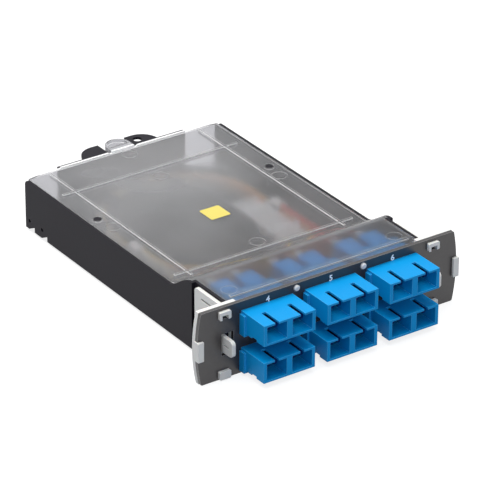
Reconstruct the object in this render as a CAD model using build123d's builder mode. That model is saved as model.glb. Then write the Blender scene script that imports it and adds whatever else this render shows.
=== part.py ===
from build123d import *
import os

os.makedirs("parts", exist_ok=True)

# Fibre splice module, in millimetres. +Y runs from the ports to the rear cable entries, +Z is up.
# The origin is the centre of the whole module's footprint, on the bottom edge of the face plate.

# Face plate
plate_width = 132.6
plate_corner_width = 129.0
plate_height = 33.4
plate_thick = 1.8
plate_corner_radius = 0.9

# Duplex adapters, three columns and two rows
adapter_width = 25.6
adapter_height = 9.5
adapter_front = 16.4
adapter_back = 13.0
relief_start = 5.3
relief_end = 8.9
relief_height = 0.85
collar_side = 0.9
collar_depth = 3.4
collar_drop = 1.2
adapter_columns = 3
adapter_rows = 2
column_pitch = 31.8
row_pitch = 17.3
rows_mid_z = 15.75
port_pitch = 12.7
port_width = 9.9
port_height = 7.7
key_slot_width = 2.1
key_slot_length = 10.0
mid_wall = 2.0
fit_gap = 0.1
sleeve_bore = 2.5
sleeve_outer = 3.2
sleeve_length = 11.0
holder_tube = 4.7
holder_tube_length = 8.0
hook_arm_thick = 0.9
hook_arm_height = 3.4
hook_arm_length = 8.4

# Tray
tray_width = 103.2
tray_front_width = 99.6
tray_length = 160.6
side_wall_length = 158.2
rear_wall_width = 66.8
tray_bottom_z = 1.0
floor_thick = 1.6
floor_thin = 1.0
wall_thick = 1.2
ledge_thick = 1.0
main_top_z = 24.4
front_top_z = 32.3
shoulder_y = 25.9
rise_front_y = 27.5
rise_rear_y = 43.8
rise_softness = 5.5
ear_reach = 8.0
ear_half_width = 19.5
ear_flat_x = 11.0
ear_gap = 14.0
ear_thick = 1.2
ear_hole = 4.2
ear_hole_x = 11.2
ear_hole_back = 3.3
web_thick = 1.2
web_height = 6.0
tooth_end_gap = 7.4
tooth_pitch = 10.5
tooth_length = 4.6
tooth_height = 2.4
tooth_hole = 1.8
tooth_hole_back = 4.1
tooth_hole_rise = 4.2
boss_half = 2.6
boss_height = 7.2
anchor_y = 146.0
anchor_width = 6.0
anchor_length = 8.0
anchor_height = 4.6
anchor_wall_gap = 1.9
anchor_bridge = 2.0

# Lid
lid_thick = 1.5
lid_gap = 0.3
lid_front_gap = 0.5
bead_width = 1.2
bead_height = 0.45
rib_depth = 0.8
bead_half_span = 39.5
cross_bead_half_length = 46.0
front_bead_y = 47.5
rear_bead_y = 135.5
front_rib_y = 7.2
peg_diameter = 2.6
peg_pitch = 34.0
peg_z = 31.2
peg_reach = 0.9
post_hole = 4.4
post_diameter = 3.4
post_x = 45.1
post_y = 108.7
tab_half_width = 5.9
tab_reach = 7.8
tab_rim = 1.0
tab_thick = 1.2
tab_straight = 1.5
bead_overrun = 3.5
bead_rear_gap = 3.2
front_rib_width = 1.6
front_rib_height = 0.6
rim_width = 1.8
rim_height = 0.5
peg_root_width = 5.0
peg_root_depth = 4.0
peg_tip_round = 0.6
mark_diameter = 7.4
mark_width = 0.5
mark_depth = 0.12
low_mark_places = [(-43.4, 98.5), (43.4, 98.5), (0, 153.0), (0, 127.7), (0, 52.9)]
front_mark_places = [(-42.2, 12.4), (42.2, 12.4)]
sticker_size = 10.0
sticker_thick = 0.12
sticker_y = 85.0

# Latch bracket and lever, one of each at either side
flange_thick = 2.0
flange_inner_x = 46.2
side_plate_thick = 1.7
side_plate_top_z = 31.4
side_plate_bottom_z = 1.2
side_plate_gap = 2.0
side_slit_y = 14.8
side_slit_z = 27.7
side_slit_length = 8.4
side_slit_height = 1.0
side_plate_round = 1.4
side_plate_step = 1.2
side_plate_step_drop = 2.5
window_margin = 0.6
window_root_gap = 1.9
socket_wall = 2.6
socket_overlap = 0.4
socket_length = 4.2
socket_floor = 1.2
socket_mouth_width = 2.7
socket_mouth_length = 4.0
socket_headroom = 1.75
snap_peg = 3.0
snap_peg_y = 12.5
snap_peg_z = 5.2
hook_width = 5.6
hook_height = 3.7
hook_wall = 1.2
hook_roof = 1.7
hook_reach = 1.4
hook_corner = 0.6
hook_x = 53.2
top_hook_z = 30.0
bottom_hook_z = 2.1
clip_height = 8.9
clip_width = 2.8
clip_wall = 0.4
clip_bite = 1.3
clip_z = 16.4
lever_x = 52.6
lever_thick = 1.8
lever_height = 7.4
lever_z = 15.9
lever_reach = 6.4
lever_root_y = 15.8
lever_root_radius = 1.2
lever_gap = 0.25
lever_slit_length = 4.4
lever_slit_height = 0.7
lever_slit_rise = 0.4
lever_neck = 1.0
lever_neck_length = 4.4
lever_neck_taper = 1.4
lever_round = 1.8
catch_place = 1.6
catch_height = 1.2
catch_peak = 0.8
catch_length = 3.8
latch_slot_inner_x = 48.4
latch_slot_outer_x = 54.3
latch_slot_height = 10.2

# Rear connectors and boots
connector_width = 9.0
connector_height = 7.4
connector_out = 11.5
ferrule_diameter = 2.46
boot_length = 7.5
boot_root = 4.2
boot_tip = 2.4

# Fibre routing inside the tray
drum_x = -5.0
drum_radius = 25.0
drum_front_y = 88.0
drum_rear_y = 112.0
drum_wall = 1.6
drum_height = 12.2
drum_tab_length = 6.5
drum_tab_width = 7.0
drum_tab_thick = 1.3
loop_front_y = 50.0
loop_rear_gap = 6.6
loop_drum_gap = 2.6
loop_holder_gap = 2.0
loop_front_radius = 25.0
coil_diameter = 3.2
lower_coil_z = 5.0
upper_coil_z = 9.0
lead_diameter = 0.9
lead_spacing = 1.05
lower_lead_z = 11.35
lead_lift = 0.4
lead_row_rise = 6.5
left_lead_straight = 13.0
right_lead_straight = 27.0
tie_y = 95.0
tie_length = 7.0
tie_width = 5.2
tie_wall = 0.45
fence_thick = 1.4
rear_fence_height = 11.0
front_fence_height = 8.0

# Splice holder
sleeve_columns = 4
sleeve_rows = 3
splice_diameter = 2.8
splice_length = 40.0
slot_pitch = 3.6
slot_gap = 0.1
holder_drum_gap = 1.4
holder_y = 86.0
holder_length = 26.0
holder_base = 1.2
comb_thick = 4.0
screw_pitch = 12.0
screw_shank = 2.0
screw_head = 3.6

# Places worked out from the sizes above
face_y = (adapter_front - tray_length - ear_reach) / 2
plate_mid_z = plate_height / 2
plate_back_y = face_y + plate_thick
floor_top_z = tray_bottom_z + floor_thick
tray_half = tray_width / 2
tray_front_half = tray_front_width / 2
rear_y = face_y + tray_length
side_end_y = face_y + side_wall_length
flange_back_y = plate_back_y + flange_thick
lid_low_z = main_top_z - lid_thick
lid_high_z = front_top_z - lid_thick
adapter_places = [
    ((column - (adapter_columns - 1) / 2) * column_pitch, rows_mid_z + (row - (adapter_rows - 1) / 2) * row_pitch)
    for row in range(adapter_rows)
    for column in range(adapter_columns)
]
port_places = [(x + side * port_pitch / 2, z) for x, z in adapter_places for side in (-1, 1)]
slots_width = sleeve_columns * slot_pitch + (slot_pitch - splice_diameter)
holder_x = drum_x + drum_radius + holder_drum_gap + slots_width / 2
splice_xs = [holder_x + (column - (sleeve_columns - 1) / 2) * slot_pitch for column in range(sleeve_columns)]
splice_zs = [
    floor_top_z + holder_base + slot_gap + splice_diameter / 2 + row * (splice_diameter + slot_gap)
    for row in range(sleeve_rows)
]
screw_places = [(holder_x, face_y + holder_y + side * screw_pitch / 2) for side in (-1, 1)]
left_x = drum_x - drum_radius - loop_drum_gap - coil_diameter / 2
right_x = holder_x + slots_width / 2 + loop_holder_gap + coil_diameter / 2
loop_x = (left_x + right_x) / 2
loop_half_width = (right_x - left_x) / 2
loop_rear_y = tray_length - wall_thick - ledge_thick - loop_rear_gap - coil_diameter / 2


# Upright plane parallel to the face plate; a negative extrusion from it runs rearwards.
def cross_plane(y):
    return Plane.XZ.offset(-y)


# Top line of the walls and lid: high at the front, a soft double bend, then low to the rear.
def draw_top_line(front, rear, drop):
    high = front_top_z - drop
    low = main_top_z - drop
    start = face_y + rise_front_y
    end = face_y + rise_rear_y
    if front < start:
        Line((front, high), (start, high))
    Bezier((start, high), (start + rise_softness, high), (end - rise_softness, low), (end, low))
    Line((end, low), (rear, low))


# Outline of a wall that stands on the tray's bottom and follows the top line.
def draw_wall_outline(front, rear, drop):
    draw_top_line(front, rear, drop)
    Polyline(
        (rear, main_top_z - drop),
        (rear, tray_bottom_z),
        (front, tray_bottom_z),
        (front, front_top_z - drop),
    )


# Outline of the face plate, bowed at both ends, which the bracket flanges share.
def draw_plate_outline():
    corner = plate_corner_width / 2
    bow = plate_width / 2
    Line((-corner, 0), (corner, 0))
    ThreePointArc((corner, 0), (bow, plate_mid_z), (corner, plate_height))
    Line((corner, plate_height), (-corner, plate_height))
    ThreePointArc((-corner, plate_height), (-bow, plate_mid_z), (-corner, 0))


# Face plate with adapter cut-outs, peg holes, latch slots, hook slots and end notches
with BuildPart() as face_plate:
    with BuildSketch(cross_plane(face_y)):
        with BuildLine():
            draw_plate_outline()
        make_face()
        with Locations(*adapter_places):
            Rectangle(adapter_width + 2 * fit_gap, adapter_height + 2 * fit_gap, mode=Mode.SUBTRACT)
        with Locations((-peg_pitch / 2, peg_z), (peg_pitch / 2, peg_z)):
            Circle(peg_diameter / 2 + lid_gap, mode=Mode.SUBTRACT)
        for side in (-1, 1):
            with Locations((side * (latch_slot_inner_x + latch_slot_outer_x) / 2, lever_z)):
                Rectangle(latch_slot_outer_x - latch_slot_inner_x, latch_slot_height, mode=Mode.SUBTRACT)
            with Locations((side * hook_x, top_hook_z), (side * hook_x, bottom_hook_z)):
                Rectangle(hook_width + 2 * fit_gap, hook_height + 2 * fit_gap, mode=Mode.SUBTRACT)
            with Locations((side * plate_width / 2, clip_z)):
                Rectangle(2 * clip_width / 2, clip_height + 2 * fit_gap, mode=Mode.SUBTRACT)
    extrude(amount=-plate_thick)
    corner_edges = face_plate.edges().filter_by(Axis.Y).filter_by(
        lambda edge: abs(abs(edge.center().X) - plate_corner_width / 2) < 0.01
    )
    fillet(corner_edges, plate_corner_radius)
face_plate.part.label = "face_plate"
export_step(face_plate.part, "parts/face_plate.step")

# Tray: one black moulding with floor, stepped side walls, rear wall, ears and fibre guides
with BuildPart() as tray:
    with BuildSketch(Plane.XY.offset(tray_bottom_z)):
        with BuildLine():
            front_step = flange_back_y + fit_gap
            floor_front_x = flange_inner_x - fit_gap
            Polyline(
                (-rear_wall_width / 2, rear_y),
                (rear_wall_width / 2, rear_y),
            )
            ThreePointArc(
                (rear_wall_width / 2, rear_y),
                ((rear_wall_width / 2 + tray_half) / 2, (rear_y + side_end_y) / 2 + 0.5),
                (tray_half, side_end_y),
            )
            Polyline(
                (tray_half, side_end_y),
                (tray_half, face_y + shoulder_y),
                (tray_front_half, face_y + shoulder_y),
                (tray_front_half, front_step),
                (floor_front_x, front_step),
                (floor_front_x, plate_back_y),
                (-floor_front_x, plate_back_y),
                (-floor_front_x, front_step),
                (-tray_front_half, front_step),
                (-tray_front_half, face_y + shoulder_y),
                (-tray_half, face_y + shoulder_y),
                (-tray_half, side_end_y),
            )
            ThreePointArc(
                (-tray_half, side_end_y),
                (-(rear_wall_width / 2 + tray_half) / 2, (rear_y + side_end_y) / 2 + 0.5),
                (-rear_wall_width / 2, rear_y),
            )
        make_face()
    extrude(amount=floor_thick)
    # Floor is thinner under the adapters
    recess_length = adapter_back + 0.6
    with BuildSketch(Plane.XY.offset(tray_bottom_z + floor_thin)):
        with Locations((0, plate_back_y + recess_length / 2)):
            Rectangle(2 * flange_inner_x - 1.6, recess_length)
    extrude(amount=floor_thick, mode=Mode.SUBTRACT)
    for side in (-1, 1):
        # Full-height outer wall, then the lower ledge inside it that carries the lid
        with BuildSketch(Plane.YZ.offset(side * (tray_half - wall_thick))):
            with BuildLine():
                draw_wall_outline(face_y + shoulder_y, side_end_y, 0)
            make_face()
        extrude(amount=side * wall_thick)
        with BuildSketch(Plane.YZ.offset(side * (tray_half - wall_thick - ledge_thick))):
            with BuildLine():
                draw_wall_outline(face_y + shoulder_y, side_end_y, lid_thick + lid_gap)
            make_face()
        extrude(amount=side * ledge_thick)
        # Narrower wall beside the bracket, from the flange back to the shoulder
        with BuildSketch(Plane.YZ.offset(side * (tray_front_half - wall_thick))):
            with BuildLine():
                Polyline(
                    (flange_back_y + fit_gap, tray_bottom_z),
                    (face_y + rise_front_y, tray_bottom_z),
                    (face_y + rise_front_y, front_top_z),
                    (flange_back_y + fit_gap, front_top_z),
                    close=True,
                )
            make_face()
        extrude(amount=side * wall_thick)
        with BuildSketch(Plane.YZ.offset(side * (tray_front_half - wall_thick - ledge_thick))):
            with BuildLine():
                Polyline(
                    (flange_back_y + fit_gap, tray_bottom_z),
                    (face_y + rise_front_y, tray_bottom_z),
                    (face_y + rise_front_y, lid_high_z - lid_gap),
                    (flange_back_y + fit_gap, lid_high_z - lid_gap),
                    close=True,
                )
            make_face()
        extrude(amount=side * ledge_thick)
        # Shoulder wall that joins the narrow wall to the wide one
        with BuildSketch(cross_plane(face_y + shoulder_y)):
            with Locations((side * (tray_front_half + tray_half) / 2, (tray_bottom_z + front_top_z) / 2)):
                Rectangle(tray_half - tray_front_half, front_top_z - tray_bottom_z)
        extrude(amount=-(rise_front_y - shoulder_y))
    # Snap pegs that hold the brackets
    for side in (-1, 1):
        with BuildSketch(Plane.YZ.offset(side * tray_front_half)):
            with Locations((face_y + snap_peg_y, snap_peg_z)):
                Circle(snap_peg / 2)
        extrude(amount=side * (side_plate_thick + 0.5))
    # Rear wall with its ledge, notched in the middle for the lid's finger tab
    with BuildSketch(cross_plane(rear_y - wall_thick)):
        with Locations((0, (tray_bottom_z + main_top_z) / 2)):
            Rectangle(rear_wall_width, main_top_z - tray_bottom_z)
    extrude(amount=-wall_thick)
    with BuildSketch(cross_plane(rear_y - wall_thick - ledge_thick)):
        with Locations((0, (tray_bottom_z + lid_low_z - lid_gap) / 2)):
            Rectangle(rear_wall_width, lid_low_z - lid_gap - tray_bottom_z)
    extrude(amount=-ledge_thick)
    with BuildSketch(cross_plane(rear_y - wall_thick)):
        with Locations((0, main_top_z)):
            Rectangle(ear_gap, 2 * (lid_thick + lid_gap))
    extrude(amount=-wall_thick, mode=Mode.SUBTRACT)
    # Two rear ears, which leave a gap for the finger tab; one has a hole
    for side in (-1, 1):
        with BuildSketch(Plane.XY.offset(main_top_z - ear_thick)):
            with BuildLine():
                Polyline(
                    (side * ear_half_width, rear_y),
                    (side * ear_gap / 2, rear_y),
                    (side * ear_gap / 2, rear_y + ear_reach),
                    (side * ear_flat_x, rear_y + ear_reach),
                )
                ThreePointArc(
                    (side * ear_flat_x, rear_y + ear_reach),
                    (side * (ear_half_width - 2.3), rear_y + ear_reach - 2.7),
                    (side * ear_half_width, rear_y),
                )
            make_face()
            if side > 0:
                with Locations((ear_hole_x, rear_y + ear_hole_back)):
                    Circle(ear_hole / 2, mode=Mode.SUBTRACT)
        extrude(amount=ear_thick)
        # Web that stiffens each ear against the wall
        with BuildSketch(Plane.YZ.offset(side * (ear_gap / 2 + 0.2))):
            with BuildLine():
                Polyline(
                    (rear_y, main_top_z - ear_thick),
                    (rear_y + ear_reach * 0.7, main_top_z - ear_thick),
                    (rear_y, main_top_z - ear_thick - web_height),
                    close=True,
                )
            make_face()
        extrude(amount=side * web_thick)
    # Saw-tooth catches and small holes low down at the rear of each side wall
    for side in (-1, 1):
        for tooth in range(2):
            tooth_y = side_end_y - tooth_end_gap - tooth * tooth_pitch
            with BuildSketch(Plane.YZ.offset(side * (tray_half - wall_thick - ledge_thick))):
                with BuildLine():
                    Polyline(
                        (tooth_y, tray_bottom_z),
                        (tooth_y + tooth_length, tray_bottom_z),
                        (tooth_y, tray_bottom_z + tooth_height),
                        close=True,
                    )
                make_face()
            extrude(amount=side * (wall_thick + ledge_thick), mode=Mode.SUBTRACT)
            with BuildSketch(Plane.YZ.offset(side * (tray_half - wall_thick - ledge_thick))):
                with Locations((tooth_y + tooth_hole_back, tray_bottom_z + tooth_hole_rise)):
                    Circle(tooth_hole / 2)
            extrude(amount=side * (wall_thick + ledge_thick), mode=Mode.SUBTRACT)
    # Posts that stand in the lid's two holes, on bosses at the side walls
    for side in (-1, 1):
        with BuildSketch(Plane.YZ.offset(side * (post_x - boss_half))):
            with BuildLine():
                Polyline(
                    (face_y + post_y - boss_half, lid_low_z - lid_gap),
                    (face_y + post_y + boss_half, lid_low_z - lid_gap),
                    (face_y + post_y + boss_half, lid_low_z - lid_gap - boss_height),
                    (face_y + post_y - boss_half, lid_low_z - lid_gap - boss_height),
                    close=True,
                )
            make_face()
        extrude(amount=side * (tray_half - wall_thick - post_x + boss_half))
        with BuildSketch(Plane.XY.offset(lid_low_z - lid_gap)):
            with Locations((side * post_x, face_y + post_y)):
                Circle(post_diameter / 2)
        extrude(amount=lid_thick + lid_gap - 0.2)
    # Central drum that keeps the fibre's bend, with retaining tabs round its top
    drum_mid_y = face_y + (drum_front_y + drum_rear_y) / 2
    drum_centres = drum_rear_y - drum_front_y
    with BuildSketch(Plane.XY.offset(floor_top_z)):
        with Locations((drum_x, drum_mid_y)):
            SlotCenterToCenter(drum_centres, 2 * drum_radius, rotation=90)
            SlotCenterToCenter(drum_centres, 2 * (drum_radius - drum_wall), rotation=90, mode=Mode.SUBTRACT)
    extrude(amount=drum_height)
    tab_middle = drum_radius + (drum_tab_length - drum_wall) / 2
    with BuildSketch(Plane.XY.offset(floor_top_z + drum_height - drum_tab_thick)):
        with Locations((drum_x, face_y + drum_rear_y)):
            with PolarLocations(tab_middle, 3, 55, 70, endpoint=True):
                Rectangle(drum_tab_length + drum_wall, drum_tab_width)
        with Locations((drum_x, face_y + drum_front_y)):
            with PolarLocations(tab_middle, 3, 250, 60, endpoint=True):
                Rectangle(drum_tab_length + drum_wall, drum_tab_width)
    extrude(amount=drum_tab_thick)
    # Holes for the splice holder's screws
    with BuildSketch(Plane.XY.offset(tray_bottom_z)):
        with Locations(*screw_places):
            Circle(screw_shank / 2 + 0.05)
    extrude(amount=floor_thick, mode=Mode.SUBTRACT)
    # Corner fences outside the loop
    fence_space = coil_diameter / 2 + 0.8
    rear_centre_y = face_y + loop_rear_y - loop_half_width
    front_centre_y = face_y + loop_front_y + loop_front_radius
    front_centre_x = loop_half_width - loop_front_radius
    for centre, radius, start, height in (
        ((loop_x, rear_centre_y), loop_half_width, 32, rear_fence_height),
        ((loop_x, rear_centre_y), loop_half_width, 118, rear_fence_height),
        ((loop_x + front_centre_x, front_centre_y), loop_front_radius, 315, front_fence_height),
        ((loop_x - front_centre_x, front_centre_y), loop_front_radius, 195, front_fence_height),
    ):
        with BuildSketch(Plane.XY.offset(floor_top_z)):
            with BuildLine():
                inner = CenterArc(centre, radius + fence_space, start, 30)
                outer = CenterArc(centre, radius + fence_space + fence_thick, start, 30)
                Line(inner @ 0, outer @ 0)
                Line(inner @ 1, outer @ 1)
            make_face()
        extrude(amount=height)
    # Cable anchors at the two rear entries, each bridged for a tie
    anchor_x = tray_half - wall_thick - ledge_thick - anchor_wall_gap - anchor_width / 2
    for side in (-1, 1):
        with BuildSketch(Plane.XY.offset(floor_top_z)):
            with Locations((side * anchor_x, face_y + anchor_y)):
                Rectangle(anchor_width, anchor_length)
        extrude(amount=anchor_height)
        with BuildSketch(Plane.YZ.offset(side * anchor_x - anchor_width / 2)):
            with Locations((face_y + anchor_y, floor_top_z + anchor_height / 2 - 0.5)):
                Rectangle(anchor_length / 2, anchor_bridge)
        extrude(amount=anchor_width, mode=Mode.SUBTRACT)
    # Upper rear corner of each side wall is rounded
    wall_corners = tray.edges().filter_by(Axis.X).filter_by(
        lambda edge: abs(edge.center().Y - side_end_y) < 0.01 and abs(edge.center().Z - main_top_z) < 0.01
    )
    fillet(wall_corners, 2.6)
tray.part.label = "tray"
export_step(tray.part, "parts/tray.step")

# Lid: one clear moulding that follows the top line, with pegs, ribs and a finger tab
lid_front_y = plate_back_y + lid_front_gap
lid_rear_y = rear_y - wall_thick - lid_gap
lid_half = tray_half - wall_thick - lid_gap
lid_front_half = tray_front_half - wall_thick - lid_gap
lid_shoulder_y = face_y + rise_front_y + lid_gap
lid_notch_y = flange_back_y + 0.6
lid_notch_half = flange_inner_x - lid_gap
lid_side_end_y = side_end_y - 0.8
with BuildPart() as lid:
    with BuildSketch(Plane.YZ):
        with BuildLine():
            draw_top_line(lid_front_y, lid_rear_y, 0)
            Line((lid_rear_y, main_top_z), (lid_rear_y, lid_low_z))
            draw_top_line(lid_front_y, lid_rear_y, lid_thick)
            Line((lid_front_y, lid_high_z), (lid_front_y, front_top_z))
        make_face()
    extrude(amount=lid_half, both=True)
    with BuildSketch(Plane.XY.offset(lid_low_z)):
        with BuildLine():
            for side in (-1, 1):
                ThreePointArc(
                    (side * rear_wall_width / 2, lid_rear_y),
                    (side * (rear_wall_width / 2 + lid_half) / 2, (lid_rear_y + lid_side_end_y) / 2 + 0.5),
                    (side * lid_half, lid_side_end_y),
                )
                Polyline(
                    (side * lid_half, lid_side_end_y),
                    (side * lid_half, lid_shoulder_y),
                    (side * lid_front_half, lid_shoulder_y),
                    (side * lid_front_half, lid_notch_y),
                    (side * lid_notch_half, lid_notch_y),
                    (side * lid_notch_half, lid_front_y),
                )
            Line((-lid_notch_half, lid_front_y), (lid_notch_half, lid_front_y))
            Line((-rear_wall_width / 2, lid_rear_y), (rear_wall_width / 2, lid_rear_y))
        make_face()
    extrude(amount=front_top_z - lid_low_z, mode=Mode.INTERSECT)
    # Raised beads on top, with matching ribs below, form a framed panel
    for base_z, height in ((main_top_z, bead_height), (lid_low_z, -rib_depth)):
        with BuildSketch(Plane.XY.offset(base_z)):
            with Locations((0, face_y + front_bead_y), (0, face_y + rear_bead_y)):
                Rectangle(2 * cross_bead_half_length, bead_width)
            bead_start = face_y + front_bead_y - bead_overrun
            bead_end = lid_rear_y - bead_rear_gap
            with Locations((-bead_half_span, (bead_start + bead_end) / 2), (bead_half_span, (bead_start + bead_end) / 2)):
                Rectangle(bead_width, bead_end - bead_start)
        extrude(amount=height)
    with BuildSketch(Plane.XY.offset(front_top_z)):
        with Locations((0, face_y + front_rib_y)):
            Rectangle(2 * lid_notch_half - 1.0, front_rib_width)
    extrude(amount=front_rib_height)
    # Rear edge is thickened either side of the finger tab
    with BuildSketch(Plane.XY.offset(main_top_z)):
        for side in (-1, 1):
            middle = side * (rear_wall_width / 2 + ear_gap / 2) / 2
            with Locations((middle, lid_rear_y - rim_width / 2)):
                Rectangle(rear_wall_width / 2 - ear_gap / 2 - 1.0, rim_width)
    extrude(amount=rim_height)
    # Finger tab over the rear wall, with a raised rim
    with BuildSketch(Plane.XY.offset(lid_low_z)):
        with BuildLine():
            Polyline(
                (-tab_half_width, rear_y + tab_straight),
                (-tab_half_width, lid_rear_y - 1.0),
                (tab_half_width, lid_rear_y - 1.0),
                (tab_half_width, rear_y + tab_straight),
            )
            ThreePointArc((-tab_half_width, rear_y + tab_straight), (0, rear_y + tab_reach), (tab_half_width, rear_y + tab_straight))
        make_face()
    extrude(amount=lid_thick + tab_rim)
    with BuildSketch(Plane.XY.offset(lid_low_z + tab_thick)):
        with BuildLine():
            Line((-tab_half_width + tab_rim, rear_y + tab_straight), (tab_half_width - tab_rim, rear_y + tab_straight))
            ThreePointArc(
                (-tab_half_width + tab_rim, rear_y + tab_straight),
                (0, rear_y + tab_reach - tab_rim),
                (tab_half_width - tab_rim, rear_y + tab_straight),
            )
        make_face()
    extrude(amount=lid_thick + tab_rim, mode=Mode.SUBTRACT)
    # Two pegs with a thickened root enter the face plate's holes
    for side in (-1, 1):
        with BuildSketch(Plane.XY.offset(peg_z - peg_diameter / 2)):
            with Locations((side * peg_pitch / 2, lid_front_y + peg_root_depth / 2)):
                Rectangle(peg_root_width, peg_root_depth)
        extrude(amount=lid_high_z - peg_z + peg_diameter / 2)
        with BuildSketch(cross_plane(lid_front_y)):
            with Locations((side * peg_pitch / 2, peg_z)):
                Circle(peg_diameter / 2)
        extrude(amount=lid_front_y - face_y + peg_reach)
    peg_tips = lid.edges().filter_by(GeomType.CIRCLE).sort_by(Axis.Y)[0:2]
    fillet(peg_tips, peg_tip_round)
    # Clearance holes over the tray's posts
    with Locations((-post_x, face_y + post_y, main_top_z), (post_x, face_y + post_y, main_top_z)):
        Hole(post_hole / 2, depth=lid_thick)
    # Shallow round marks left by the mould's ejector pins
    with BuildSketch(Plane.XY.offset(main_top_z)):
        with Locations(*[(x, face_y + y) for x, y in low_mark_places]):
            Circle(mark_diameter / 2)
            Circle(mark_diameter / 2 - mark_width, mode=Mode.SUBTRACT)
    extrude(amount=-mark_depth, mode=Mode.SUBTRACT)
    with BuildSketch(Plane.XY.offset(front_top_z)):
        with Locations(*[(x, face_y + y) for x, y in front_mark_places]):
            Circle(mark_diameter / 2)
            Circle(mark_diameter / 2 - mark_width, mode=Mode.SUBTRACT)
    extrude(amount=-mark_depth, mode=Mode.SUBTRACT)
lid.part.label = "lid"
export_step(lid.part, "parts/lid.step")

# Plain square sticker on the lid
with BuildPart() as sticker:
    with BuildSketch(Plane.XY.offset(main_top_z)):
        with Locations((0, face_y + sticker_y)):
            RectangleRounded(sticker_size, sticker_size, 0.8)
    extrude(amount=sticker_thick)
sticker.part.label = "sticker"
export_step(sticker.part, "parts/sticker.step")

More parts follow.
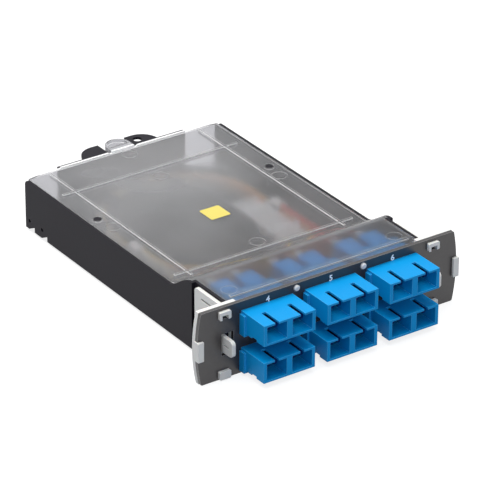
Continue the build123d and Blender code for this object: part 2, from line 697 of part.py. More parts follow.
# White latch brackets: flange behind the plate end, side plate along the tray, hooks and clip
window_front_y = flange_back_y
window_rear_y = face_y + lever_root_y - window_root_gap
side_plate_end_y = face_y + shoulder_y - side_plate_gap
for side, side_name in ((-1, "left"), (1, "right")):
    outer_x = side * tray_half
    with BuildPart() as bracket:
        with BuildSketch(cross_plane(plate_back_y)):
            with BuildLine():
                draw_plate_outline()
            make_face()
            with Locations((side * (flange_inner_x / 2 - plate_width / 2), plate_mid_z)):
                Rectangle(plate_width + flange_inner_x, 2 * plate_height, mode=Mode.SUBTRACT)
            with Locations((side * (latch_slot_inner_x + latch_slot_outer_x) / 2, lever_z)):
                Rectangle(latch_slot_outer_x - latch_slot_inner_x, latch_slot_height, mode=Mode.SUBTRACT)
        extrude(amount=-flange_thick)
        # Side plate with a slit, a window for the lever and a cut-back lower rear edge
        with BuildSketch(Plane.YZ.offset(outer_x - side * side_plate_thick)):
            with BuildLine():
                Polyline(
                    (flange_back_y, side_plate_bottom_z),
                    (side_plate_end_y - side_plate_step, side_plate_bottom_z),
                    (side_plate_end_y - side_plate_step, plate_mid_z - side_plate_step_drop),
                    (side_plate_end_y, plate_mid_z - side_plate_step_drop),
                    (side_plate_end_y, side_plate_top_z),
                    (flange_back_y, side_plate_top_z),
                    close=True,
                )
            make_face()
            upper_corners = vertices().sort_by(Axis.Y)[-2:]
            fillet(upper_corners.sort_by(Axis.X)[-1], side_plate_round)
            with Locations((face_y + side_slit_y, side_slit_z)):
                SlotOverall(side_slit_length, side_slit_height, mode=Mode.SUBTRACT)
            with Locations(((window_front_y + window_rear_y) / 2, lever_z)):
                Rectangle(window_rear_y - window_front_y, lever_height + 2 * window_margin, mode=Mode.SUBTRACT)
            with Locations((face_y + snap_peg_y, snap_peg_z)):
                Circle(snap_peg / 2 + fit_gap, mode=Mode.SUBTRACT)
        extrude(amount=side * side_plate_thick)
        # Socket block for the lever's root, on the outside of the side plate
        with BuildSketch(Plane.XY.offset(lever_z - lever_height / 2 - socket_floor)):
            with Locations((side * (lever_x + tray_half + socket_wall - socket_overlap) / 2, face_y + lever_root_y)):
                Rectangle(lever_x + socket_wall - tray_half + socket_overlap, socket_length)
        extrude(amount=lever_height + socket_floor)
        with BuildSketch(Plane.XY.offset(lever_z - lever_height / 2 - lever_gap)):
            with Locations((side * lever_x, face_y + lever_root_y)):
                Circle(lever_root_radius + lever_gap)
            with Locations((side * lever_x, face_y + lever_root_y - socket_mouth_length / 2)):
                Rectangle(socket_mouth_width, socket_mouth_length)
        extrude(amount=lever_height + lever_gap + socket_headroom, mode=Mode.SUBTRACT)
        # Hooks through the plate, hollow at the top and solid at the bottom
        with BuildSketch(cross_plane(face_y - hook_reach)):
            with Locations((side * hook_x, top_hook_z), (side * hook_x, bottom_hook_z)):
                RectangleRounded(hook_width, hook_height, hook_corner)
            with Locations((side * hook_x, top_hook_z - hook_roof)):
                Rectangle(hook_width - 2 * hook_wall, hook_height, mode=Mode.SUBTRACT)
        extrude(amount=-(hook_reach + plate_thick))
        # Clip that wraps the end of the plate
        with BuildSketch(Plane.XY.offset(clip_z - clip_height / 2)):
            with BuildLine():
                Polyline(
                    (side * (plate_width / 2 - clip_bite), plate_back_y),
                    (side * (plate_width / 2 + clip_wall), plate_back_y),
                    (side * (plate_width / 2 + clip_wall), face_y - hook_reach),
                    (side * (plate_width / 2 + clip_wall - clip_width), face_y - hook_reach),
                    (side * (plate_width / 2 + clip_wall - clip_width), face_y - fit_gap),
                    (side * (plate_width / 2 - clip_bite), face_y - fit_gap),
                    close=True,
                )
            make_face()
        extrude(amount=clip_height)
    bracket.part.label = "latch_bracket_" + side_name
    export_step(bracket.part, "parts/latch_bracket_" + side_name + ".step")

    # Latch lever: a finger tab at the front, a catch on its outer face and a round root
    catch_y = flange_back_y + catch_place
    neck_y = face_y + lever_root_y - lever_neck_length
    with BuildPart() as lever:
        with BuildSketch(Plane.XY.offset(lever_z - lever_height / 2)):
            with BuildLine():
                Polyline(
                    (side * (lever_x - lever_thick / 2), face_y - lever_reach),
                    (side * (lever_x + lever_thick / 2), face_y - lever_reach),
                    (side * (lever_x + lever_thick / 2), catch_y),
                    (side * (lever_x + lever_thick / 2 + catch_height), catch_y + catch_peak),
                    (side * (lever_x + lever_thick / 2), catch_y + catch_length),
                    (side * (lever_x + lever_neck / 2), neck_y),
                    (side * (lever_x + lever_neck / 2), face_y + lever_root_y),
                    (side * (lever_x - lever_neck / 2), face_y + lever_root_y),
                    (side * (lever_x - lever_neck / 2), neck_y),
                    (side * (lever_x - lever_thick / 2), neck_y - lever_neck_taper),
                    close=True,
                )
            make_face()
            with Locations((side * lever_x, face_y + lever_root_y)):
                Circle(lever_root_radius)
        extrude(amount=lever_height)
        tip_corners = lever.edges().filter_by(Axis.X).group_by(Axis.Y)[0]
        fillet(tip_corners, lever_round)
        # Short slit in the finger tab, from the plate's surface forwards
        with BuildSketch(Plane.YZ.offset(side * (lever_x - lever_thick))):
            with Locations((face_y + lever_slit_rise - lever_slit_length / 2, lever_z)):
                SlotOverall(lever_slit_length, lever_slit_height)
        extrude(amount=side * 2 * lever_thick, mode=Mode.SUBTRACT)
    lever.part.label = "latch_lever_" + side_name
    export_step(lever.part, "parts/latch_lever_" + side_name + ".step")

# Duplex adapters, each a blue housing through the plate with ports at both ends
adapter_front_y = face_y - adapter_front
adapter_back_y = plate_back_y + adapter_back
mid_wall_front_y = face_y + plate_thick / 2 - mid_wall / 2
for index, (centre_x, centre_z) in enumerate(adapter_places):
    with BuildPart() as adapter:
        with BuildSketch(cross_plane(adapter_front_y)):
            with Locations((centre_x, centre_z)):
                Rectangle(adapter_width, adapter_height)
        extrude(amount=-(adapter_back_y - adapter_front_y))
        # Collar that bears on the front of the plate, set lower than the body
        with BuildSketch(cross_plane(face_y - collar_depth)):
            with Locations((centre_x, centre_z - collar_drop)):
                Rectangle(adapter_width + 2 * collar_side, adapter_height)
        extrude(amount=-collar_depth)
        # Shallow relief under the front half
        bottom_z = centre_z - adapter_height / 2
        with BuildSketch(Plane.YZ.offset(centre_x - adapter_width)):
            with BuildLine():
                Polyline(
                    (adapter_front_y + relief_start, bottom_z),
                    (adapter_front_y + relief_start, bottom_z + relief_height),
                    (adapter_front_y + relief_end, bottom_z + relief_height),
                    (adapter_front_y + relief_end, bottom_z),
                    close=True,
                )
            make_face()
        extrude(amount=2 * adapter_width, mode=Mode.SUBTRACT)
        # Ports from both ends, up to the middle wall
        with BuildSketch(cross_plane(adapter_front_y)):
            with Locations((centre_x - port_pitch / 2, centre_z), (centre_x + port_pitch / 2, centre_z)):
                Rectangle(port_width, port_height)
        extrude(amount=-(mid_wall_front_y - adapter_front_y), mode=Mode.SUBTRACT)
        with BuildSketch(cross_plane(mid_wall_front_y + mid_wall)):
            with Locations((centre_x - port_pitch / 2, centre_z), (centre_x + port_pitch / 2, centre_z)):
                Rectangle(port_width, port_height)
        extrude(amount=-(adapter_back_y - mid_wall_front_y - mid_wall), mode=Mode.SUBTRACT)
        # Key slots in the top wall, and the bore for each alignment sleeve
        for port_x in (centre_x - port_pitch / 2, centre_x + port_pitch / 2):
            with BuildSketch(Plane.XY.offset(centre_z)):
                with Locations((port_x, adapter_front_y + key_slot_length / 2)):
                    Rectangle(key_slot_width, key_slot_length)
                with Locations((port_x, adapter_back_y - key_slot_length / 2)):
                    Rectangle(key_slot_width, key_slot_length)
            extrude(amount=adapter_height, mode=Mode.SUBTRACT)
        with BuildSketch(cross_plane(mid_wall_front_y)):
            with Locations((centre_x - port_pitch / 2, centre_z), (centre_x + port_pitch / 2, centre_z)):
                Circle(sleeve_outer / 2 + 0.05)
        extrude(amount=-mid_wall, mode=Mode.SUBTRACT)
    adapter.part.label = "adapter_" + str(index + 1)
    export_step(adapter.part, "parts/adapter_" + str(index + 1) + ".step")

    # Sleeve holders: a tube on a base, between two hooked arms, one in each port
    with BuildPart() as sleeve_holder:
        for port_x in (centre_x - port_pitch / 2, centre_x + port_pitch / 2):
            with BuildSketch(cross_plane(mid_wall_front_y)):
                with Locations((port_x, centre_z)):
                    Rectangle(port_width - 2 * fit_gap, port_height - 2 * fit_gap)
            extrude(amount=1.2)
            with BuildSketch(cross_plane(mid_wall_front_y - 1.2)):
                with Locations((port_x, centre_z)):
                    Circle(holder_tube / 2)
            extrude(amount=holder_tube_length)
            for arm_side in (-1, 1):
                arm_x = port_x + arm_side * (port_width / 2 - fit_gap - hook_arm_thick / 2)
                with BuildSketch(cross_plane(mid_wall_front_y - 1.2)):
                    with Locations((arm_x, centre_z)):
                        Rectangle(hook_arm_thick, hook_arm_height)
                extrude(amount=hook_arm_length)
                with BuildSketch(cross_plane(mid_wall_front_y - 1.2 - hook_arm_length + 1.4)):
                    with Locations((arm_x - arm_side * 0.35, centre_z)):
                        Rectangle(hook_arm_thick + 0.7, hook_arm_height)
                extrude(amount=1.4)
            with BuildSketch(cross_plane(mid_wall_front_y)):
                with Locations((port_x, centre_z)):
                    Circle(sleeve_outer / 2 + 0.05)
            extrude(amount=1.2 + holder_tube_length, mode=Mode.SUBTRACT)
    sleeve_holder.part.label = "sleeve_holders_" + str(index + 1)
    export_step(sleeve_holder.part, "parts/sleeve_holders_" + str(index + 1) + ".step")

# Ceramic alignment sleeves, one in each port
sleeve_front_y = mid_wall_front_y - 1.2 - holder_tube_length + 0.6
with BuildPart() as alignment_sleeves:
    with BuildSketch(cross_plane(sleeve_front_y)):
        with Locations(*port_places):
            Circle(sleeve_outer / 2)
            Circle(sleeve_bore / 2, mode=Mode.SUBTRACT)
    extrude(amount=-sleeve_length)
alignment_sleeves.part.label = "alignment_sleeves"
export_step(alignment_sleeves.part, "parts/alignment_sleeves.step")

# Pigtail connectors behind the plate, with their boots
connector_front_y = max(mid_wall_front_y + mid_wall, sleeve_front_y + sleeve_length) + 0.2
connector_back_y = adapter_back_y + connector_out
for index, (port_x, port_z) in enumerate(port_places):
    with BuildPart() as connector:
        with BuildSketch(cross_plane(connector_front_y)):
            with Locations((port_x, port_z)):
                Rectangle(connector_width, connector_height)
        extrude(amount=-(connector_back_y - connector_front_y))
        fillet(connector.edges().filter_by(Axis.Y), 0.6)
        # Gripped sides of the part that stands out of the adapter
        for grip in range(4):
            grip_y = adapter_back_y + 2.2 + grip * 2.2
            for grip_side in (-1, 1):
                with BuildSketch(Plane.XY.offset(port_z)):
                    with Locations((port_x + grip_side * connector_width / 2, grip_y)):
                        Rectangle(0.8, 1.0)
                extrude(amount=connector_height / 2 - 0.8, both=True, mode=Mode.SUBTRACT)
        with BuildSketch(cross_plane(connector_front_y)):
            with Locations((port_x, port_z)):
                Circle(ferrule_diameter / 2)
        extrude(amount=connector_front_y - mid_wall_front_y)
    connector.part.label = "pigtail_connector_" + str(index + 1)
    export_step(connector.part, "parts/pigtail_connector_" + str(index + 1) + ".step")

    with BuildPart() as boot:
        with BuildSketch(Plane.XY.offset(port_z)):
            with BuildLine():
                Polyline(
                    (port_x, connector_back_y),
                    (port_x + boot_root / 2, connector_back_y),
                    (port_x + boot_root / 2, connector_back_y + 1.6),
                    (port_x + boot_root / 2 - 0.5, connector_back_y + 1.6),
                    (port_x + boot_root / 2 - 0.5, connector_back_y + 2.6),
                    (port_x + boot_root / 2 - 0.2, connector_back_y + 2.6),
                    (port_x + boot_tip / 2, connector_back_y + boot_length),
                    (port_x, connector_back_y + boot_length),
                    close=True,
                )
            make_face()
        revolve(axis=Axis((port_x, connector_back_y, port_z), (0, 1, 0)))
    boot.part.label = "boot_" + str(index + 1)
    export_step(boot.part, "parts/boot_" + str(index + 1) + ".step")

# Splice holder: a base with two combs, each slot open at the top
comb_height = holder_base + sleeve_rows * (splice_diameter + slot_gap) + 0.5
with BuildPart() as splice_holder:
    with BuildSketch(Plane.XY.offset(floor_top_z)):
        with Locations((holder_x, face_y + holder_y)):
            Rectangle(slots_width, holder_length)
    extrude(amount=holder_base)
    with BuildSketch(Plane.XY.offset(floor_top_z)):
        for comb_side in (-1, 1):
            with Locations((holder_x, face_y + holder_y + comb_side * (holder_length - comb_thick) / 2)):
                Rectangle(slots_width, comb_thick)
    extrude(amount=comb_height)
    slot_depth = comb_height - holder_base
    with BuildSketch(cross_plane(face_y + holder_y - holder_length / 2)):
        with Locations((holder_x, floor_top_z + holder_base + slot_depth / 2)):
            with GridLocations(slot_pitch, 1, sleeve_columns, 1):
                Rectangle(splice_diameter + 2 * slot_gap, slot_depth)
    extrude(amount=-holder_length, mode=Mode.SUBTRACT)
    with Locations(*[(x, y, floor_top_z + holder_base) for x, y in screw_places]):
        CounterSinkHole(screw_shank / 2 + 0.1, screw_head / 2 + 0.2, depth=holder_base)
splice_holder.part.label = "splice_holder"
export_step(splice_holder.part, "parts/splice_holder.step")

# Two countersunk screws hold the splice holder to the floor
with BuildPart() as holder_screws:
    with BuildSketch(Plane.XY.offset(tray_bottom_z + 0.3)):
        with Locations(*screw_places):
            Circle(screw_shank / 2)
    extrude(amount=floor_thick + holder_base - 0.6)
    for x, y in screw_places:
        with BuildSketch(Plane.XZ.offset(-y)):
            with BuildLine():
                Polyline(
                    (x, floor_top_z + 0.2),
                    (x + screw_shank / 2, floor_top_z + 0.3),
                    (x + screw_head / 2, floor_top_z + holder_base - 0.1),
                    (x, floor_top_z + holder_base - 0.1),
                    close=True,
                )
            make_face()
        revolve(axis=Axis((x, y, 0), (0, 0, 1)))
        # Slot for the driver
        with BuildSketch(Plane.XY.offset(floor_top_z + holder_base - 0.1)):
            with Locations((x, y)):
                Rectangle(screw_head, 0.6)
        extrude(amount=-0.4, mode=Mode.SUBTRACT)
holder_screws.part.label = "holder_screws"
export_step(holder_screws.part, "parts/holder_screws.step")

# Splice protector sleeves, four across and three deep
with BuildPart() as splice_sleeves:
    with BuildSketch(cross_plane(face_y + holder_y - splice_length / 2)):
        with Locations(*[(x, z) for x in splice_xs for z in splice_zs]):
            Circle(splice_diameter / 2)
    extrude(amount=-splice_length)
splice_sleeves.part.label = "splice_sleeves"
export_step(splice_sleeves.part, "parts/splice_sleeves.step")

# Fibre coils round the drum, one above the other
front = face_y + loop_front_y
rear = face_y + loop_rear_y
rear_radius = loop_half_width - 0.1
coil_radii = [loop_front_radius, loop_front_radius, rear_radius, rear_radius]
for coil_name, coil_z in (("lower_fibre_coil", lower_coil_z), ("upper_fibre_coil", upper_coil_z)):
    with BuildPart() as coil:
        with BuildLine() as coil_path:
            FilletPolyline(
                (left_x, front, coil_z),
                (right_x, front, coil_z),
                (right_x, rear, coil_z),
                (left_x, rear, coil_z),
                radius=coil_radii,
                close=True,
            )
        with BuildSketch(Plane(origin=coil_path.line @ 0, z_dir=coil_path.line % 0)):
            Circle(coil_diameter / 2)
        sweep()
    coil.part.label = coil_name
    export_step(coil.part, "parts/" + coil_name + ".step")

# Clear ties that gather the coils and the ends of the leads
with BuildPart() as coil_ties:
    tie_bottom_z = lower_coil_z - coil_diameter / 2 - tie_wall - 0.2
    tie_top_z = lower_lead_z + lead_spacing + lead_diameter / 2 + tie_wall + 0.15
    with BuildSketch(cross_plane(face_y + tie_y - tie_length / 2)):
        with Locations((left_x, (tie_bottom_z + tie_top_z) / 2), (right_x, (tie_bottom_z + tie_top_z) / 2)):
            RectangleRounded(tie_width, tie_top_z - tie_bottom_z, 1.2)
            RectangleRounded(
                tie_width - 2 * tie_wall,
                tie_top_z - tie_bottom_z - 2 * tie_wall,
                1.2 - tie_wall,
                mode=Mode.SUBTRACT,
            )
    extrude(amount=-tie_length)
coil_ties.part.label = "coil_ties"
export_step(coil_ties.part, "parts/coil_ties.step")

# Fibre leads run from the boots over the coils, and end in a tie or at a splice sleeve
lead_start_y = connector_back_y + boot_length
tie_end_y = face_y + tie_y + tie_length / 2 - 0.4
sleeve_end_y = face_y + holder_y - splice_length / 2 - 0.1
left_straight_y = face_y + tie_y - left_lead_straight
right_straight_y = face_y + tie_y - right_lead_straight
run_places = [
    (left_x - lead_spacing, left_straight_y, tie_end_y),
    (left_x, left_straight_y, tie_end_y),
    (left_x + lead_spacing, left_straight_y, tie_end_y),
    (splice_xs[0], sleeve_end_y - 0.5, sleeve_end_y),
    (right_x - lead_spacing / 2, right_straight_y, tie_end_y),
    (right_x + lead_spacing / 2, right_straight_y, tie_end_y),
]
for index in range(adapter_columns * adapter_rows):
    with BuildPart() as leads:
        for port in (2 * index, 2 * index + 1):
            port_x, port_z = port_places[port]
            row = port // len(run_places)
            run_x, run_start_y, run_end_y = run_places[port % len(run_places)]
            run_z = lower_lead_z + row * lead_spacing
            if run_x == splice_xs[0]:
                run_z = splice_zs[1 + row]
            # Sideways move is shared out smoothly along the lead; the upper row is still falling here
            share = (front - lead_start_y) / (run_start_y - lead_start_y)
            cross_x = port_x + (run_x - port_x) * share ** 2 * (3 - 2 * share)
            lean = (run_x - port_x) * 6 * share * (1 - share) / (run_start_y - lead_start_y)
            cross_z = lower_lead_z + lead_lift + row * lead_row_rise
            fall = -0.5 * row
            near = (front - lead_start_y) / 3
            far = (run_start_y - front) / 3
            with BuildLine() as lead_path:
                Bezier(
                    (port_x, lead_start_y, port_z),
                    (port_x, lead_start_y + near, port_z),
                    (cross_x - lean * near, front - near, cross_z - fall * near),
                    (cross_x, front, cross_z),
                )
                Bezier(
                    (cross_x, front, cross_z),
                    (cross_x + lean * far, front + far, cross_z + fall * far),
                    (run_x, run_start_y - far, run_z),
                    (run_x, run_start_y, run_z),
                )
                Line((run_x, run_start_y, run_z), (run_x, run_end_y, run_z))
            with BuildSketch(cross_plane(lead_start_y)):
                with Locations((port_x, port_z)):
                    Circle(lead_diameter / 2)
            sweep(path=lead_path.wires()[0])
    leads.part.label = "pigtail_leads_" + str(index + 1)
    export_step(leads.part, "parts/pigtail_leads_" + str(index + 1) + ".step")
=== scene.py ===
import math

import bmesh
import bpy
from mathutils import Matrix, Vector


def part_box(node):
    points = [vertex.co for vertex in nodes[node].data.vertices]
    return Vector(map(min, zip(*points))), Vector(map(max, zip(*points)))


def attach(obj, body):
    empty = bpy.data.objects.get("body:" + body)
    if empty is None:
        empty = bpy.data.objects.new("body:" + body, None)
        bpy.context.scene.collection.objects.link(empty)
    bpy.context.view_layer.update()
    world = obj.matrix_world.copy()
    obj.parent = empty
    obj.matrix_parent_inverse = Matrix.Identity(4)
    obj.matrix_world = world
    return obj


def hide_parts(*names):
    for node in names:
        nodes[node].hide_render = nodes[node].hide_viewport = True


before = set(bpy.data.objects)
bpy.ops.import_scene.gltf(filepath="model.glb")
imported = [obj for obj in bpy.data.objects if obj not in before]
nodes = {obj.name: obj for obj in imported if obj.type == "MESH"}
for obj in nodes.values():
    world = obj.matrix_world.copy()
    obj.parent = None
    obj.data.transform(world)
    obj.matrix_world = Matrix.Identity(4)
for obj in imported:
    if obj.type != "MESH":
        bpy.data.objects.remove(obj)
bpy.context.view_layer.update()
mm = 0.001  # metres in a millimetre
print("frame loaded:", len(nodes), "nodes")


# Small helpers
def linear(hexColour):
    channels = [int(hexColour[i:i + 2], 16) / 255 for i in (1, 3, 5)]
    return tuple([c / 12.92 if c <= 0.04045 else ((c + 0.055) / 1.055) ** 2.4 for c in channels] + [1.0])


def addNode(tree, kind, settings=None, links=None):
    made = tree.nodes.new(kind)
    for key, value in (settings or {}).items():
        if isinstance(key, int) or key in made.inputs:
            made.inputs[key].default_value = value
        else:
            setattr(made, key, value)
    for key, source in (links or {}).items():
        tree.links.new(source, made.inputs[key])
    return made


def startMaterial(name):
    made = bpy.data.materials.new(name)
    made.use_nodes = True
    tree = made.node_tree
    tree.nodes.clear()
    return made, tree, addNode(tree, "ShaderNodeOutputMaterial")


# Rounds the shading at edges, and finds them for a painted highlight line
def edgeLine(tree, radius, gain):
    rounded = addNode(tree, "ShaderNodeBevel", {"Radius": radius * mm, "samples": 8})
    flat = addNode(tree, "ShaderNodeNewGeometry")
    agree = addNode(tree, "ShaderNodeVectorMath", {"operation": "DOT_PRODUCT"},
                    {0: rounded.outputs["Normal"], 1: flat.outputs["Normal"]})
    turned = addNode(tree, "ShaderNodeMath", {"operation": "SUBTRACT", 0: 1.0}, {1: agree.outputs["Value"]})
    highlightMask = addNode(tree, "ShaderNodeMath", {"operation": "MULTIPLY", "use_clamp": True, 1: gain},
                   {0: turned.outputs[0]})
    return rounded.outputs["Normal"], highlightMask.outputs[0]


# What all opaque surfaces share: limits of the grain's roughness, its depth and the depth of softness in mm
opaqueLook = {"smoother": 0.05, "rougher": 0.07, "grainDepth": 0.05, "softDepth": 0.6, "bend": 1.48}


def opaque(name, look):
    made, tree, output = startMaterial(name)
    place = addNode(tree, "ShaderNodeTexCoord").outputs["Object"]
    tone = addNode(tree, "ShaderNodeTexNoise", {"Scale": 1 / (look["toneSize"] * mm), "Detail": 2.0},
                   {"Vector": place})
    toneRamp = addNode(tree, "ShaderNodeMix", {"data_type": "RGBA"}, {"Factor": tone.outputs["Fac"]})
    toneRamp.inputs[6].default_value = linear(look["colour"])
    toneRamp.inputs[7].default_value = linear(look["colourTo"])
    grain = addNode(tree, "ShaderNodeTexNoise", {"Scale": 1 / (look["grainSize"] * mm), "Detail": 3.0},
                    {"Vector": place})
    rough = addNode(tree, "ShaderNodeMapRange",
                    {"To Min": look["rough"] - opaqueLook["smoother"],
                     "To Max": look["rough"] + opaqueLook["rougher"]}, {"Value": grain.outputs["Fac"]})
    softNormal, highlightMask = edgeLine(tree, look["edge"], look.get("highlightGain", 0.0))
    # Painted highlight: edges are mixed towards a lighter colour
    edged = addNode(tree, "ShaderNodeMix", {"data_type": "RGBA"}, {"Factor": highlightMask})
    tree.links.new(toneRamp.outputs[2], edged.inputs[6])
    edged.inputs[7].default_value = linear(look.get("highlightColour", look["colourTo"]))
    bump = addNode(tree, "ShaderNodeBump", {"Strength": look["bump"], "Distance": opaqueLook["grainDepth"] * mm},
                   {"Height": grain.outputs["Fac"], "Normal": softNormal})
    surface = addNode(tree, "ShaderNodeBsdfPrincipled",
                      {"Subsurface Weight": look.get("soft", 0.0),
                       "Subsurface Scale": opaqueLook["softDepth"] * mm,
                       "IOR": opaqueLook["bend"], "Specular IOR Level": look.get("shine", 0.5)},
                      {"Base Color": edged.outputs[2], "Roughness": rough.outputs["Result"],
                       "Normal": bump.outputs["Normal"]})
    tree.links.new(surface.outputs["BSDF"], output.inputs["Surface"])
    return made


def frosted(name, look):
    made, tree, output = startMaterial(name)
    place = addNode(tree, "ShaderNodeTexCoord").outputs["Object"]
    spot = addNode(tree, "ShaderNodeSeparateXYZ", None, {0: place})
    cloud = addNode(tree, "ShaderNodeTexNoise", {"Scale": 1 / (look["cloudSize"] * mm), "Detail": 2.0},
                    {"Vector": place})
    mist = addNode(tree, "ShaderNodeMapRange",
                   {"From Min": look["cloudLimits"][0], "From Max": look["cloudLimits"][1],
                    "To Min": look["haze"] - look["hazeSpread"],
                    "To Max": look["haze"] + look["hazeSpread"]}, {"Value": cloud.outputs["Fac"]})
    # Painted sheen: haze thins towards the front, so the main panel reads lighter than the raised front panel
    paintedSheenAlongY = addNode(tree, "ShaderNodeMapRange",
                      {"From Min": look["sheenY"][0] * mm, "From Max": look["sheenY"][1] * mm,
                       "To Min": look["sheenFrontShare"], "To Max": 1.0}, {"Value": spot.outputs["Y"]})
    # Painted sheen: haze thins out towards the right wall, so the left reads lighter
    paintedSheenAcrossX = addNode(tree, "ShaderNodeMapRange",
                       {"From Min": -look["wallX"] * mm, "From Max": look["wallX"] * mm,
                        "To Min": 1 + look["sheenLeftShare"], "To Max": 1 - look["sheenLeftShare"]},
                       {"Value": spot.outputs["X"]})
    paintedSheenSlope = addNode(tree, "ShaderNodeMath", {"operation": "MULTIPLY"},
                    {0: paintedSheenAlongY.outputs["Result"], 1: paintedSheenAcrossX.outputs["Result"]})
    hazeWithPaintedSheen = addNode(tree, "ShaderNodeMath", {"operation": "MULTIPLY"},
                         {0: mist.outputs["Result"], 1: paintedSheenSlope.outputs[0]})
    # Its texture is coarser on the raised panel, so the connectors melt together
    coarser = addNode(tree, "ShaderNodeMapRange",
                      {"From Min": look["coarseY"][0] * mm, "From Max": look["coarseY"][1] * mm,
                       "To Min": look["coarseBlur"], "To Max": look["blur"]},
                      {"Value": spot.outputs["Y"]})
    softNormal, highlightMask = edgeLine(tree, look["edge"], look["highlightGain"])
    # Painted highlight: raised beads and outer edges get a stronger painted edge line than the shallow marks
    for low, high in look["highlightBands"]:
        inBand = addNode(tree, "ShaderNodeMath",
                         {"operation": "COMPARE", 1: (low + high) / 2 * mm, 2: (high - low) / 2 * mm},
                         {0: spot.outputs["Z"]})
        gain = addNode(tree, "ShaderNodeMath", {"operation": "MULTIPLY_ADD", 1: look["highlightBandGain"], 2: 1.0},
                       {0: inBand.outputs[0]})
        highlightMask = addNode(tree, "ShaderNodeMath", {"operation": "MULTIPLY", "use_clamp": True},
                       {0: highlightMask, 1: gain.outputs[0]}).outputs[0]
    # Painted highlight along its rear edge and at the pegs' ends
    for middle, half, strength in look["highlightEdges"]:
        inEdge = addNode(tree, "ShaderNodeMath", {"operation": "COMPARE", 1: middle * mm, 2: half * mm},
                         {0: spot.outputs["Y"]})
        edgeHighlightStrength = addNode(tree, "ShaderNodeMath", {"operation": "MULTIPLY", 1: strength}, {0: inEdge.outputs[0]})
        highlightMask = addNode(tree, "ShaderNodeMath", {"operation": "MAXIMUM"},
                       {0: highlightMask, 1: edgeHighlightStrength.outputs[0]}).outputs[0]
    through = addNode(tree, "ShaderNodeBsdfRefraction",
                      {"Color": linear(look["tint"]), "IOR": look["bend"]},
                      {"Roughness": coarser.outputs["Result"], "Normal": softNormal})
    milk = addNode(tree, "ShaderNodeBsdfDiffuse", {"Color": linear(look["milk"])}, {"Normal": softNormal})
    glow = addNode(tree, "ShaderNodeBsdfTranslucent", {"Color": linear(look["milk"])}, {"Normal": softNormal})
    haze = addNode(tree, "ShaderNodeMixShader", {0: look["glowShare"]}, {1: milk.outputs[0], 2: glow.outputs[0]})
    body = addNode(tree, "ShaderNodeMixShader", None,
                   {0: hazeWithPaintedSheen.outputs[0], 1: through.outputs[0], 2: haze.outputs[0]})
    # Painted highlight: a white diffuse mixed in along the edge lines
    paintedHighlight = addNode(tree, "ShaderNodeBsdfDiffuse", {"Color": linear(look["highlightColour"])},
                     {"Normal": softNormal})
    outlined = addNode(tree, "ShaderNodeMixShader", None, {0: highlightMask, 1: body.outputs[0], 2: paintedHighlight.outputs[0]})
    sheen = addNode(tree, "ShaderNodeBsdfGlossy", {"Roughness": look["sheen"]}, {"Normal": softNormal})
    rim = addNode(tree, "ShaderNodeFresnel", {"IOR": look["gloss"]}, {"Normal": softNormal})
    skin = addNode(tree, "ShaderNodeMixShader", None,
                   {0: rim.outputs[0], 1: outlined.outputs[0], 2: sheen.outputs[0]})
    # Light reaches the inside as if the sheet were thin
    path = addNode(tree, "ShaderNodeLightPath")
    clearPath = addNode(tree, "ShaderNodeBsdfTransparent", {"Color": linear(look["shade"])})
    final = addNode(tree, "ShaderNodeMixShader", None,
                    {0: path.outputs["Is Shadow Ray"], 1: skin.outputs[0], 2: clearPath.outputs[0]})
    tree.links.new(final.outputs[0], output.inputs["Surface"])
    return made


def dress(material, *names):
    for name in names:
        mesh = nodes[name].data
        mesh.materials.clear()
        mesh.materials.append(material)


# A closed loop with four rounded corners
def roundedRoute(low, high, z, radii, step):
    corners = [((low[0], low[1]), 180), ((high[0], low[1]), 270),
               ((high[0], high[1]), 0), ((low[0], high[1]), 90)]
    points = []
    for ((x, y), start), radius in zip(corners, radii):
        centreX = x + radius if x == low[0] else x - radius
        centreY = y + radius if y == low[1] else y - radius
        turns = max(6, round(math.pi / 2 * radius / step))
        for turn in range(turns + 1):
            angle = math.radians(start + 90 * turn / turns)
            points.append((centreX + radius * math.cos(angle), centreY + radius * math.sin(angle), z))
    return points


